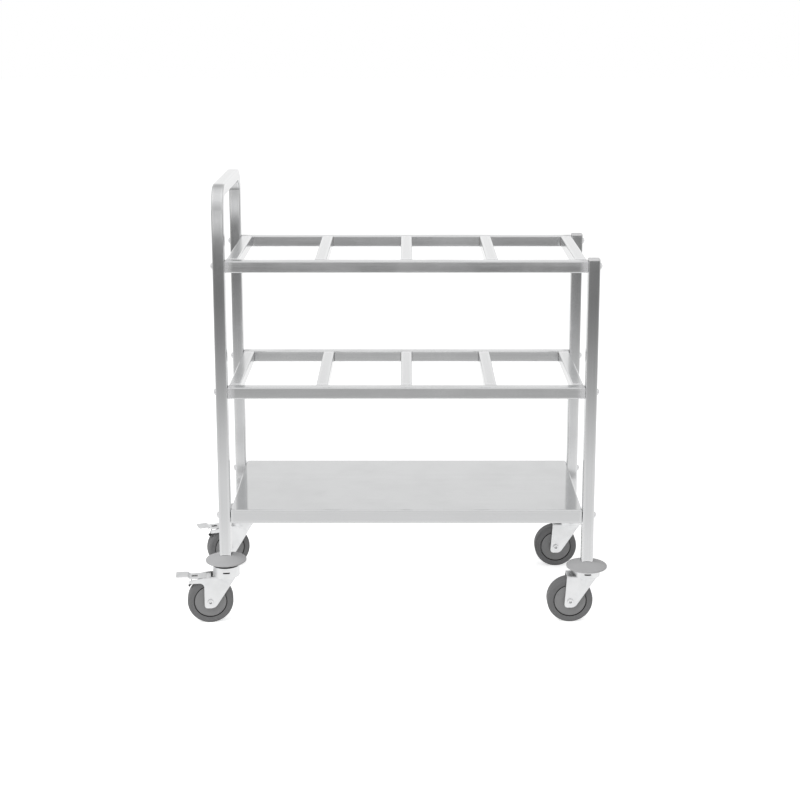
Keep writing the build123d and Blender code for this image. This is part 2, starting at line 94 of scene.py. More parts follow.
# Sizes of surface detail, in metres
STEEL_ROUNDING = 0.0008
# Width of the face margins that steel lightens as a painted sheen
STEEL_SHEEN_MARGIN = 0.008
GROUND_WIDTH = 0.018
GROUND_RAGGED = 0.008
SMALL_ROUNDING = 0.0006
WELD_ROUNDING = 0.0003
# Reach of the painted shade in the crevices of plated parts
PLATED_SHADE_REACH = 0.03
GRAIN_DEPTH = 0.0002
MOULDED_DEPTH = 0.0003

# Height over which the handle's grain turns from its posts to its bar, in metres
TURN_SPAN = 0.05

# Contrast of steel's brush lines, the painted shade of its faces and painted sheen of their margins, what the
# lines take from or add to its roughness, what ground ends add, and the roughness of a weld
STEEL_CONTRAST = 0.22
FACE_SHADE, MARGIN_SHEEN = 0.94, 1.14
SMOOTH_LINE, ROUGH_LINE = 0.04, 0.05
GROUND_ROUGHNESS = 0.16
WELD_ROUGHNESS = 0.38

# How open a place may be before the painted shade in crevices stops darkening it, and over what share it fades
PLATED_OPENNESS = 0.6
MOULDED_OPENNESS = 0.7
SHADE_FADE = 0.45

# Places read from the frame, in metres
tube_low, tube_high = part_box("top_center_bar")
tube_size = tube_high.x - tube_low.x
handle_low, handle_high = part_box("handle_frame")
front_face = handle_low.y
frame_middle = (handle_low.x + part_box("front_right_post")[1].x) / 2


class SteelFinish(PropertyGroup):
    """Stainless and zinc-plated steel."""

    stainless_color: FloatVectorProperty(
        name="Stainless", description="Colour of the brushed tubes and the tray",
        subtype="COLOR", size=4, default=(0.74, 0.745, 0.75, 1.0))
    stainless_roughness: FloatProperty(
        name="Stainless roughness", description="Blur of reflections in the brushed steel",
        subtype="FACTOR", min=0.0, max=1.0, default=0.1)
    tray_roughness: FloatProperty(
        name="Tray roughness", description="Blur of reflections in the bottom tray",
        subtype="FACTOR", min=0.0, max=1.0, default=0.09)
    grain_spread: FloatProperty(
        name="Grain spread", description="How much more reflections blur across the grain than along it",
        subtype="FACTOR", min=0.0, max=1.0, default=0.95)
    grain_pitch: FloatProperty(
        name="Grain pitch", description="Width of one brush line across the grain",
        subtype="DISTANCE", unit="LENGTH", min=0.0001, default=0.0012)
    grain_length: FloatProperty(
        name="Grain length", description="Length of one brush line along the grain",
        subtype="DISTANCE", unit="LENGTH", min=0.001, default=0.12)
    fastener_color: FloatVectorProperty(
        name="Fasteners", description="Colour of bolts, plugs and nuts",
        subtype="COLOR", size=4, default=(0.84, 0.84, 0.85, 1.0))
    zinc_color: FloatVectorProperty(
        name="Zinc", description="Colour of the plated caster parts",
        subtype="COLOR", size=4, default=(0.86, 0.865, 0.87, 1.0))
    zinc_roughness: FloatProperty(
        name="Zinc roughness", description="Blur of reflections in the zinc plating",
        subtype="FACTOR", min=0.0, max=1.0, default=0.36)


class MouldedFinish(PropertyGroup):
    """Grey plastics and rubbers."""

    bumper_color: FloatVectorProperty(
        name="Bumper", description="Colour of the round bumpers",
        subtype="COLOR", size=4, default=(0.43, 0.43, 0.435, 1.0))
    cap_color: FloatVectorProperty(
        name="Caps", description="Colour of the plugs in the tube ends",
        subtype="COLOR", size=4, default=(0.62, 0.62, 0.625, 1.0))
    core_color: FloatVectorProperty(
        name="Wheel core", description="Colour of the wheel bodies",
        subtype="COLOR", size=4, default=(0.24, 0.24, 0.242, 1.0))
    tread_color: FloatVectorProperty(
        name="Tread", description="Colour of the tyres",
        subtype="COLOR", size=4, default=(0.16, 0.16, 0.162, 1.0))
    seal_color: FloatVectorProperty(
        name="Swivel caps", description="Colour of the discs between the cups and the bumpers",
        subtype="COLOR", size=4, default=(0.04, 0.04, 0.041, 1.0))
    shoe_color: FloatVectorProperty(
        name="Brake shoe", description="Colour of the brake blocks",
        subtype="COLOR", size=4, default=(0.03, 0.03, 0.03, 1.0))


class WeldSizes(PropertyGroup):
    """Beads where the cross tubes meet the long rails."""

    bead_radius: FloatProperty(
        name="Bead radius", description="Half the width of a weld bead",
        subtype="DISTANCE", unit="LENGTH", min=0.0002, default=0.0014)
    ripple_pitch: FloatProperty(
        name="Ripple pitch", description="Distance from one ripple of a bead to the next",
        subtype="DISTANCE", unit="LENGTH", min=0.0002, default=0.0012)
    ripple_waist: FloatProperty(
        name="Ripple waist", description="Width between two ripples as a share of the bead's width",
        subtype="FACTOR", min=0.1, max=1.0, default=0.84)
    bead_stop: FloatProperty(
        name="Bead stop", description="How far a bead ends from the tube's upper and lower face",
        subtype="DISTANCE", unit="LENGTH", min=0.0, default=0.0022)
    bead_sides: IntProperty(
        name="Bead sides", description="Flat sides round a bead", min=4, default=10)


class StudioSettings(PropertyGroup):
    """Camera, floor and light."""

    camera_distance: FloatProperty(
        name="Camera distance", description="From the camera to the middle of the trolley",
        subtype="DISTANCE", unit="LENGTH", default=3.356)
    camera_height: FloatProperty(
        name="Camera height", description="Camera above the floor",
        subtype="DISTANCE", unit="LENGTH", default=1.3695)
    camera_tilt: FloatProperty(
        name="Camera tilt", description="How far the camera looks down",
        subtype="ANGLE", unit="ROTATION", default=radians(11.65))
    lens: FloatProperty(
        name="Lens", description="Focal length on a full-frame sensor", subtype="DISTANCE_CAMERA",
        default=69.13)
    shift_x: FloatProperty(
        name="Shift across", description="Sideways lens shift", default=-0.008)
    shift_y: FloatProperty(
        name="Shift down", description="Lens shift that holds the posts upright", default=-0.12)
    floor_glow: FloatProperty(
        name="Floor glow", description="Light that the floor itself sends to the camera", min=0.0, default=0.62)
    world_level: FloatProperty(
        name="World level", description="Light from all round", min=0.0, default=0.62)
    key_power: FloatProperty(
        name="Key power", description="Power of the large lamp above the front",
        subtype="POWER", unit="POWER", min=0.0, default=55.0)
    fill_power: FloatProperty(
        name="Fill power", description="Power of the lamp from the right",
        subtype="POWER", unit="POWER", min=0.0, default=8.0)


def add_node(tree, kind, **settings):
    """New node of that kind with its settings made."""
    node = tree.nodes.new(kind)
    for name, value in settings.items():
        setattr(node, name, value)
    return node


def math_node(tree, operation, first, second):
    """Math node on two sockets or numbers, as its output socket."""
    node = add_node(tree, "ShaderNodeMath", operation=operation)
    for socket, value in zip(node.inputs, (first, second)):
        if isinstance(value, bpy.types.NodeSocket):
            tree.links.new(value, socket)
        else:
            socket.default_value = value
    return node.outputs["Value"]


def map_range(tree, value, from_low, from_high, to_low=0.0, to_high=1.0):
    """Clamped linear map of a socket, as its output socket."""
    node = add_node(tree, "ShaderNodeMapRange")
    tree.links.new(value, node.inputs["Value"])
    node.inputs["From Min"].default_value = from_low
    node.inputs["From Max"].default_value = from_high
    node.inputs["To Min"].default_value = to_low
    node.inputs["To Max"].default_value = to_high
    return node.outputs["Result"]


def noise(tree, vector, scale, detail, roughness):
    """Noise texture on a vector socket, as its value socket."""
    node = add_node(tree, "ShaderNodeTexNoise")
    tree.links.new(vector, node.inputs["Vector"])
    node.inputs["Detail"].default_value = detail
    node.inputs["Roughness"].default_value = roughness
    if isinstance(scale, bpy.types.NodeSocket):
        tree.links.new(scale, node.inputs["Scale"])
    else:
        node.inputs["Scale"].default_value = scale
    return node.outputs["Fac"]


def new_group(name, inputs, outputs):
    """Empty shader group with named sockets, as (group, input node, output node)."""
    group = bpy.data.node_groups.new(name, "ShaderNodeTree")
    for socket, kind in inputs:
        group.interface.new_socket(socket, in_out="INPUT", socket_type=kind)
    for socket, kind in outputs:
        group.interface.new_socket(socket, in_out="OUTPUT", socket_type=kind)
    return group, add_node(group, "NodeGroupInput"), add_node(group, "NodeGroupOutput")


def brush_group():
    """Brushed grain: fine and broad streaks along the stretched direction of the vector."""
    group, start, end = new_group(
        "Brushed grain",
        [("Vector", "NodeSocketVector"), ("Contrast", "NodeSocketFloat")],
        [("Streak", "NodeSocketFloat"), ("Tone", "NodeSocketFloat")])
    fine = noise(group, start.outputs["Vector"], scale=1.0, detail=3.0, roughness=0.65)
    broad = noise(group, start.outputs["Vector"], scale=0.09, detail=2.0, roughness=0.5)
    both = math_node(group, "ADD", math_node(group, "MULTIPLY", fine, 0.6),
                     math_node(group, "MULTIPLY", broad, 0.4))
    centered = math_node(group, "SUBTRACT", both, 0.5)
    tone = math_node(group, "ADD", math_node(group, "MULTIPLY", centered, start.outputs["Contrast"]), 1.0)
    group.links.new(both, end.inputs["Streak"])
    group.links.new(tone, end.inputs["Tone"])
    return group


def edge_and_sheen_group():
    """Worn edges and sheen margins: a mask along sharp edges, broken up, a broader mask near edges for a
    painted sheen, and a normal that rounds them.
    """
    group, start, end = new_group(
        "Worn edges and sheen margins",
        [("Vector", "NodeSocketVector"), ("Radius", "NodeSocketFloat"), ("Margin", "NodeSocketFloat")],
        [("Edge", "NodeSocketFloat"), ("Near edge", "NodeSocketFloat"), ("Normal", "NodeSocketVector")])
    geometry = add_node(group, "ShaderNodeNewGeometry")

    def turned(width):
        """Bevel node of a width, and how far its normal lies along the true one."""
        bevel = add_node(group, "ShaderNodeBevel", samples=4)
        group.links.new(start.outputs[width], bevel.inputs["Radius"])
        dot = add_node(group, "ShaderNodeVectorMath", operation="DOT_PRODUCT")
        group.links.new(bevel.outputs["Normal"], dot.inputs[0])
        group.links.new(geometry.outputs["Normal"], dot.inputs[1])
        return bevel, dot.outputs["Value"]

    bevel, along = turned("Radius")
    bend = map_range(group, along, 0.98, 0.72)
    near = map_range(group, turned("Margin")[1], 1.0, 0.75)
    group.links.new(near, end.inputs["Near edge"])
    cloud = noise(group, start.outputs["Vector"], scale=160.0, detail=3.0, roughness=0.6)
    patch = map_range(group, cloud, 0.35, 0.6, to_low=0.2)
    group.links.new(math_node(group, "MULTIPLY", bend, patch), end.inputs["Edge"])
    group.links.new(bevel.outputs["Normal"], end.inputs["Normal"])
    return group


def smudge_group():
    """Handling marks: soft blotches where hands and cloths have dulled the surface."""
    group, start, end = new_group(
        "Handling marks",
        [("Vector", "NodeSocketVector"), ("Scale", "NodeSocketFloat"), ("Amount", "NodeSocketFloat")],
        [("Mark", "NodeSocketFloat")])
    large = noise(group, start.outputs["Vector"], start.outputs["Scale"], detail=4.0, roughness=0.62)
    mark = map_range(group, large, 0.42, 0.68)
    group.links.new(math_node(group, "MULTIPLY", mark, start.outputs["Amount"]), end.inputs["Mark"])
    return group


def moulded_group():
    """Moulded grain: the fine texture of moulded plastic and rubber."""
    group, start, end = new_group(
        "Moulded grain",
        [("Vector", "NodeSocketVector"), ("Scale", "NodeSocketFloat"), ("Contrast", "NodeSocketFloat")],
        [("Tone", "NodeSocketFloat"), ("Height", "NodeSocketFloat")])
    fine = noise(group, start.outputs["Vector"], start.outputs["Scale"], detail=2.0, roughness=0.5)
    cloud = noise(group, start.outputs["Vector"], scale=24.0, detail=3.0, roughness=0.5)
    both = math_node(group, "ADD", math_node(group, "MULTIPLY", fine, 0.5),
                     math_node(group, "MULTIPLY", cloud, 0.5))
    centered = math_node(group, "SUBTRACT", both, 0.5)
    tone = math_node(group, "ADD", math_node(group, "MULTIPLY", centered, start.outputs["Contrast"]), 1.0)
    group.links.new(tone, end.inputs["Tone"])
    group.links.new(fine, end.inputs["Height"])
    return group


def crevice_shade_group():
    """Painted crevice shade: a mask of painted shade that darkens grooves, corners and gaps, where little light
    reaches.
    """
    group, start, end = new_group(
        "Painted crevice shade",
        [("Vector", "NodeSocketVector"), ("Reach", "NodeSocketFloat"), ("Openness", "NodeSocketFloat")],
        [("Crevice shade", "NodeSocketFloat")])
    occlusion = add_node(group, "ShaderNodeAmbientOcclusion", samples=8)
    group.links.new(start.outputs["Reach"], occlusion.inputs["Distance"])
    hidden = math_node(group, "SUBTRACT", start.outputs["Openness"], occlusion.outputs["AO"])
    closed = map_range(group, hidden, 0.0, SHADE_FADE)
    cloud = noise(group, start.outputs["Vector"], scale=70.0, detail=3.0, roughness=0.6)
    patch = map_range(group, cloud, 0.3, 0.6, to_low=0.75)
    group.links.new(math_node(group, "MULTIPLY", closed, patch), end.inputs["Crevice shade"])
    return group


def ground_and_highlight_group():
    """Ground and highlit ends: a patch at each end of a tube, where its weld was ground flat, which steel makes
    rougher and also lighter as a painted highlight.
    """
    group, start, end = new_group(
        "Ground and highlit ends",
        [("Vector", "NodeSocketVector"), ("Along", "NodeSocketFloat"), ("Half length", "NodeSocketFloat"),
         ("Width", "NodeSocketFloat")],
        [("Ground", "NodeSocketFloat")])
    reach = math_node(group, "ABSOLUTE", start.outputs["Along"], 0.0)
    left = math_node(group, "SUBTRACT", start.outputs["Half length"], reach)
    cloud = noise(group, start.outputs["Vector"], scale=240.0, detail=3.0, roughness=0.6)
    ragged = math_node(group, "MULTIPLY", cloud, GROUND_RAGGED)
    share = math_node(group, "DIVIDE", math_node(group, "ADD", left, ragged), start.outputs["Width"])
    group.links.new(map_range(group, share, 0.6, 1.2, to_low=1.0, to_high=0.0), end.inputs["Ground"])
    return group


GROUP_MAKERS = {
    "Brushed grain": brush_group,
    "Worn edges and sheen margins": edge_and_sheen_group,
    "Handling marks": smudge_group,
    "Moulded grain": moulded_group,
    "Painted crevice shade": crevice_shade_group,
    "Ground and highlit ends": ground_and_highlight_group,
}


def place_group(tree, name, vector, **values):
    """One shared group in a material, with its vector and its own values."""
    group = bpy.data.node_groups.get(name) or GROUP_MAKERS[name]()
    node = add_node(tree, "ShaderNodeGroup", node_tree=group)
    tree.links.new(vector, node.inputs["Vector"])
    for socket, value in values.items():
        node.inputs[socket].default_value = value
    return node


def new_material(name):
    """Node material, as (material, tree, principled shader, object coordinates)."""
    material = bpy.data.materials.new(name)
    material.use_nodes = True
    tree = material.node_tree
    shader = tree.nodes["Principled BSDF"]
    coordinates = add_node(tree, "ShaderNodeTexCoord")
    return material, tree, shader, coordinates.outputs["Object"]


def tinted(tree, color, factor):
    """A colour multiplied by a value that varies over the surface."""
    mix = add_node(tree, "ShaderNodeMix", data_type="RGBA", blend_type="MULTIPLY")
    mix.inputs["Factor"].default_value = 1.0
    mix.inputs["A"].default_value = color
    tree.links.new(factor, mix.inputs["B"])
    return mix.outputs["Result"]


def blended_to(tree, color, mask, other):
    """A colour socket blended towards another colour by a mask."""
    mix = add_node(tree, "ShaderNodeMix", data_type="RGBA")
    tree.links.new(mask, mix.inputs["Factor"])
    tree.links.new(color, mix.inputs["A"])
    mix.inputs["B"].default_value = other
    return mix.outputs["Result"]


def bumped(tree, height, normal, strength, distance):
    """Bump on a height socket over a rounded normal, as a normal socket."""
    bump = add_node(tree, "ShaderNodeBump")
    bump.inputs["Strength"].default_value = strength
    bump.inputs["Distance"].default_value = distance
    tree.links.new(height, bump.inputs["Height"])
    tree.links.new(normal, bump.inputs["Normal"])
    return bump.outputs["Normal"]


def stretched(tree, vector, axis):
    """Object coordinates scaled so that a grain runs along one axis, 0 to 2."""
    steel = bpy.context.scene.trolley_steel
    mapping = add_node(tree, "ShaderNodeMapping")
    scale = [1.0 / steel.grain_pitch] * 3
    scale[axis] = 1.0 / steel.grain_length
    mapping.inputs["Scale"].default_value = scale
    tree.links.new(vector, mapping.inputs["Vector"])
    return mapping.outputs["Vector"]


def stainless(name, axis, roughness, top_axis=None, turn_height=0.0, ends=None):
    """Brushed stainless steel with its grain along an axis, or along another one above a height, with the
    margins of its faces lighter as a painted sheen, and with ground ends, lighter as a painted highlight, where
    the middle and half length along the axis are given."""
    steel = bpy.context.scene.trolley_steel
    material, tree, shader, place = new_material(name)
    split = add_node(tree, "ShaderNodeSeparateXYZ")
    tree.links.new(place, split.inputs["Vector"])
    brush = place_group(tree, "Brushed grain", stretched(tree, place, axis), Contrast=STEEL_CONTRAST)
    streak, tone = brush.outputs["Streak"], brush.outputs["Tone"]
    if top_axis is not None:
        upper = place_group(tree, "Brushed grain", stretched(tree, place, top_axis), Contrast=STEEL_CONTRAST)
        above = map_range(tree, split.outputs["Z"], turn_height, turn_height + TURN_SPAN)
        blended = []
        for low, high in ((streak, upper.outputs["Streak"]), (tone, upper.outputs["Tone"])):
            mix = add_node(tree, "ShaderNodeMix", data_type="FLOAT")
            tree.links.new(above, mix.inputs["Factor"])
            tree.links.new(low, mix.inputs["A"])
            tree.links.new(high, mix.inputs["B"])
            blended.append(mix.outputs["Result"])
        streak, tone = blended
    across = add_node(tree, "ShaderNodeCombineXYZ")
    for index, socket in enumerate(across.inputs):
        socket.default_value = 0.0 if index == axis else 1.0
    if top_axis is not None:
        tree.links.new(above, across.inputs[axis])
        tree.links.new(math_node(tree, "SUBTRACT", 1.0, above), across.inputs[top_axis])
    tree.links.new(across.outputs["Vector"], shader.inputs["Tangent"])
    shader.inputs["Anisotropic"].default_value = steel.grain_spread
    edges = place_group(tree, "Worn edges and sheen margins", place, Radius=STEEL_ROUNDING, Margin=STEEL_SHEEN_MARGIN)
    marks = place_group(tree, "Handling marks", place, Scale=9.0, Amount=0.06)
    # Painted sheen and shade: faces are darker in the middle and lighter near their edges, as reflections fall
    # on rounded tubes
    margin_sheen = map_range(tree, edges.outputs["Near edge"], 0.0, 1.0, FACE_SHADE, MARGIN_SHEEN)
    color = tinted(tree, steel.stainless_color, math_node(tree, "MULTIPLY", tone, margin_sheen))
    color = blended_to(tree, color, edges.outputs["Edge"], STEEL_EDGE)
    rough = map_range(tree, streak, 0.3, 0.7, roughness - SMOOTH_LINE, roughness + ROUGH_LINE)
    rough = math_node(tree, "ADD", rough, marks.outputs["Mark"])
    if ends is not None:
        middle, half_length = ends
        # Painted highlight: each tube end is lighter where its weld was ground, and rougher too
        end_patch = place_group(tree, "Ground and highlit ends", place, Width=GROUND_WIDTH, **{"Half length": half_length})
        tree.links.new(math_node(tree, "SUBTRACT", split.outputs[axis], middle), end_patch.inputs["Along"])
        color = blended_to(tree, color, end_patch.outputs["Ground"], STEEL_END_HIGHLIGHT)
        scoured = math_node(tree, "MULTIPLY", end_patch.outputs["Ground"], GROUND_ROUGHNESS)
        rough = math_node(tree, "ADD", rough, scoured)
    tree.links.new(color, shader.inputs["Base Color"])
    tree.links.new(rough, shader.inputs["Roughness"])
    normal = bumped(tree, streak, edges.outputs["Normal"], strength=0.1, distance=GRAIN_DEPTH)
    tree.links.new(normal, shader.inputs["Normal"])
    shader.inputs["Metallic"].default_value = 1.0
    return material


def plated(name, color, roughness, cloud_scale):
    """Plated or turned steel: a cloudy tone, lighter edges, dulled blotches and painted shade in its crevices
    and gaps.
    """
    material, tree, shader, place = new_material(name)
    edges = place_group(tree, "Worn edges and sheen margins", place, Radius=SMALL_ROUNDING)
    marks = place_group(tree, "Handling marks", place, Scale=cloud_scale, Amount=0.12)
    grain = place_group(tree, "Moulded grain", place, Scale=900.0, Contrast=0.1)
    dulled = math_node(tree, "MULTIPLY", marks.outputs["Mark"], 0.4)
    shade = math_node(tree, "SUBTRACT", grain.outputs["Tone"], dulled)
    base = blended_to(tree, tinted(tree, color, shade), edges.outputs["Edge"], PLATED_EDGE)
    # Painted shade: the colour goes towards near black in crevices and gaps, where little light reaches
    crevice_shade = place_group(tree, "Painted crevice shade", place, Reach=PLATED_SHADE_REACH, Openness=PLATED_OPENNESS)
    base = blended_to(tree, base, crevice_shade.outputs["Crevice shade"], PLATED_SHADE)
    tree.links.new(base, shader.inputs["Base Color"])
    tree.links.new(math_node(tree, "ADD", marks.outputs["Mark"], roughness), shader.inputs["Roughness"])
    normal = bumped(tree, grain.outputs["Height"], edges.outputs["Normal"], strength=0.05,
                    distance=GRAIN_DEPTH)
    tree.links.new(normal, shader.inputs["Normal"])
    shader.inputs["Metallic"].default_value = 1.0
    return material


def moulded(name, color, roughness, grain_scale, bump, edge_light, shade_reach=0.003):
    """Moulded plastic or rubber with a fine grain, paler scuffed edges and painted shade in its grooves and
    gaps.
    """
    material, tree, shader, place = new_material(name)
    edges = place_group(tree, "Worn edges and sheen margins", place, Radius=SMALL_ROUNDING)
    marks = place_group(tree, "Handling marks", place, Scale=30.0, Amount=0.1)
    grain = place_group(tree, "Moulded grain", place, Scale=grain_scale, Contrast=0.25)
    pale = [min(1.0, channel * edge_light) for channel in color[:3]] + [1.0]
    base = blended_to(tree, tinted(tree, color, grain.outputs["Tone"]), edges.outputs["Edge"], pale)
    # Painted shade: the colour goes towards near black in grooves and gaps, where little light reaches
    crevice_shade = place_group(tree, "Painted crevice shade", place, Reach=shade_reach, Openness=MOULDED_OPENNESS)
    base = blended_to(tree, base, crevice_shade.outputs["Crevice shade"], MOULDED_SHADE)
    tree.links.new(base, shader.inputs["Base Color"])
    tree.links.new(math_node(tree, "ADD", marks.outputs["Mark"], roughness), shader.inputs["Roughness"])
    normal = bumped(tree, grain.outputs["Height"], edges.outputs["Normal"], strength=bump,
                    distance=MOULDED_DEPTH)
    tree.links.new(normal, shader.inputs["Normal"])
    return material


def shaded_weld_steel(name):
    """Bare weld metal with a brown heat colour that comes and goes along the bead, both darkened as painted
    shade of the inner corners where the beads sit.
    """
    material, tree, shader, place = new_material(name)
    grain = place_group(tree, "Moulded grain", place, Scale=1400.0, Contrast=0.3)
    cloud = noise(tree, place, scale=55.0, detail=2.0, roughness=0.5)
    heat = map_range(tree, cloud, 0.4, 0.65, to_high=0.7)
    steel = tinted(tree, SHADED_WELD_METAL, grain.outputs["Tone"])
    tree.links.new(blended_to(tree, steel, heat, SHADED_WELD_HEAT), shader.inputs["Base Color"])
    edges = place_group(tree, "Worn edges and sheen margins", place, Radius=WELD_ROUNDING)
    normal = bumped(tree, grain.outputs["Height"], edges.outputs["Normal"], strength=0.2,
                    distance=GRAIN_DEPTH)
    tree.links.new(normal, shader.inputs["Normal"])
    shader.inputs["Metallic"].default_value = 1.0
    shader.inputs["Roughness"].default_value = WELD_ROUGHNESS
    return material


def dress(material, *nodes):
    """Give CAD nodes a material in place of the one that they came with."""
    for name in nodes:
        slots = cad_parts[name].data.materials
        slots.clear()
        slots.append(material)


def finish_piece(name, mesh_builder, material, body):
    """Turn a bmesh into a piece at the origin that rides on a body."""
    mesh = bpy.data.meshes.new(name)
    mesh_builder.to_mesh(mesh)
    mesh_builder.free()
    mesh.materials.append(material)
    piece = bpy.data.objects.new(name, mesh)
    bpy.context.scene.collection.objects.link(piece)
    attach(piece, body)


class TROLLEY_OT_frame_tubes(Operator):
    """Brushed stainless steel on the posts, the handle and the shelf tubes"""

    bl_idname = "trolley.frame_tubes"
    bl_label = "Frame tubes"

    def execute(self, context):
        blur = context.scene.trolley_steel.stainless_roughness
        rail_low, rail_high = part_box("top_front_rail")
        half_rail = (rail_high.x - rail_low.x) / 2
        across = stainless("stainless_long_rails", X_AXIS, blur, ends=(frame_middle, half_rail))
        deep = stainless("stainless_cross_tubes", Y_AXIS, blur, ends=(0.0, tube_high.y))
        upright = stainless("stainless_posts", Z_AXIS, blur)
        bent = stainless("stainless_handle", Z_AXIS, blur, top_axis=Y_AXIS,
                         turn_height=handle_high.z - 2 * tube_size)
        for shelf in SHELVES:
            dress(across, *[f"{shelf}_{rail}" for rail in LONG_RAILS])
            dress(deep, *[f"{shelf}_{tube}" for tube in CROSS_TUBES])
        dress(upright, "front_right_post", "rear_right_post")
        dress(bent, "handle_frame")
        return {"FINISHED"}


class TROLLEY_OT_tray(Operator):
    """Brushed stainless steel on the folded bottom tray"""

    bl_idname = "trolley.tray"
    bl_label = "Bottom tray"

    def execute(self, context):
        blur = context.scene.trolley_steel.tray_roughness
        dress(stainless("stainless_tray", X_AXIS, blur), "bottom_tray")
        return {"FINISHED"}


class TROLLEY_OT_fasteners(Operator):
    """Satin steel on the bolts, plugs and nuts, and grey plastic on the tube ends"""

    bl_idname = "trolley.fasteners"
    bl_label = "Fasteners and caps"

    def execute(self, context):
        steel = context.scene.trolley_steel
        plastics = context.scene.trolley_moulded
        satin = plated("fastener_steel", steel.fastener_color, roughness=0.28, cloud_scale=60.0)
        dress(satin, "shelf_bolts", "tray_bolts", "rail_plugs", "tray_nuts")
        plastic = moulded("cap_plastic", plastics.cap_color, roughness=0.5, grain_scale=1500.0, bump=0.15,
                          edge_light=1.3)
        dress(plastic, "post_caps", "post_plugs")
        return {"FINISHED"}


def weld_bead(builder, start, end, sizes):
    """Rippled bead from one point to another, turned about the line between them."""
    run = end - start
    out = run.orthogonal().normalized() * sizes.bead_radius
    rings = 2 * max(2, round(run.length / sizes.ripple_pitch)) + 1
    profile = [builder.verts.new(start)]
    for index in range(rings):
        swell = 1.0 if index % 2 else sizes.ripple_waist
        profile.append(builder.verts.new(start + run * (index + 0.5) / rings + out * swell))
    profile.append(builder.verts.new(end))
    edges = [builder.edges.new(pair) for pair in zip(profile, profile[1:])]
    bmesh.ops.spin(builder, geom=profile + edges, cent=start, axis=run, dvec=(0.0, 0.0, 0.0),
                   angle=2 * pi, steps=sizes.bead_sides, use_merge=True, use_duplicate=False)


class TROLLEY_OT_welds(Operator):
    """Weld beads where the cross tubes of both shelves meet the long rails"""

    bl_idname = "trolley.welds"
    bl_label = "Shelf welds"

    def execute(self, context):
        sizes = context.scene.trolley_weld
        material = shaded_weld_steel("shaded_weld_steel")
        for shelf in SHELVES:
            builder = bmesh.new()
            for tube in CROSS_TUBES:
                low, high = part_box(f"{shelf}_{tube}")
                sides = {"left_rail": (high.x,), "right_rail": (low.x,)}.get(tube, (low.x, high.x))
                for x in sides:
                    for y in (low.y, high.y):
                        weld_bead(builder, Vector((x, y, low.z + sizes.bead_stop)),
                                  Vector((x, y, high.z - sizes.bead_stop)), sizes)
            bmesh.ops.remove_doubles(builder, verts=builder.verts, dist=sizes.bead_radius / 100)
            bmesh.ops.recalc_face_normals(builder, faces=builder.faces)
            finish_piece(f"{shelf}_shelf_welds", builder, material, "frame")
        return {"FINISHED"}


class TROLLEY_OT_casters(Operator):
    """Zinc plating on the forks, stems, axles and brakes, and grey bumpers"""

    bl_idname = "trolley.casters"
    bl_label = "Casters"

    def execute(self, context):
        steel = context.scene.trolley_steel
        plastics = context.scene.trolley_moulded
        zinc = plated("zinc_plating", steel.zinc_color, steel.zinc_roughness, cloud_scale=40.0)
        ball = plated("ball_steel", steel.fastener_color, roughness=0.1, cloud_scale=80.0)
        # The bumper's painted shade in its gaps reaches further than it does on other moulded parts
        rubber = moulded("bumper_rubber", plastics.bumper_color, roughness=0.55, grain_scale=1100.0, bump=0.3,
                         edge_light=1.15, shade_reach=0.006)
        shoe = moulded("shoe_rubber", plastics.shoe_color, roughness=0.7, grain_scale=1400.0, bump=0.4,
                       edge_light=1.6)
        seal = moulded("seal_plastic", plastics.seal_color, roughness=0.6, grain_scale=1400.0, bump=0.2,
                       edge_light=1.5)
        dress(zinc, "caster_stems")
        for corner in CASTERS:
            dress(zinc, f"fork_{corner}", f"axle_{corner}")
            dress(seal, f"swivel_cap_{corner}")
            dress(ball, f"bearing_balls_{corner}")
            dress(rubber, f"bumper_{corner}")
        for corner in BRAKED:
            dress(zinc, f"brake_lever_{corner}", f"brake_pin_{corner}")
            dress(shoe, f"brake_shoe_{corner}")
        return {"FINISHED"}


class TROLLEY_OT_wheels(Operator):
    """Grey plastic wheel bodies and rubber treads"""

    bl_idname = "trolley.wheels"
    bl_label = "Wheels"

    def execute(self, context):
        plastics = context.scene.trolley_moulded
        core = moulded("wheel_core_plastic", plastics.core_color, roughness=0.5, grain_scale=1300.0, bump=0.2,
                       edge_light=1.2)
        # The tread's painted shade reaches further, so it falls on the tread under and beside the fork
        tread = moulded("tread_rubber", plastics.tread_color, roughness=0.62, grain_scale=900.0, bump=0.35,
                        edge_light=1.25, shade_reach=0.008)
        for corner in CASTERS:
            dress(core, f"wheel_core_{corner}")
            dress(tread, f"wheel_tread_{corner}")
        return {"FINISHED"}


def shows_background(tree):
    """Sockets that are 1 for rays that see the background plainly and for reflected rays."""
    path = add_node(tree, "ShaderNodeLightPath")
    seen = math_node(tree, "MAXIMUM", path.outputs["Is Camera Ray"], path.outputs["Is Transmission Ray"])
    return seen, path.outputs["Is Glossy Ray"]


def level_ramp(tree, value, stops):
    """Colour ramp of grey levels on a value socket, as its colour socket."""
    ramp = add_node(tree, "ShaderNodeValToRGB")
    tree.links.new(value, ramp.inputs["Fac"])
    elements = ramp.color_ramp.elements
    while len(elements) < len(stops):
        elements.new(1.0)
    for element, (position, level) in zip(elements, stops):
        element.position = position
        element.color = (level, level, level, 1.0)
    return ramp.outputs["Color"]


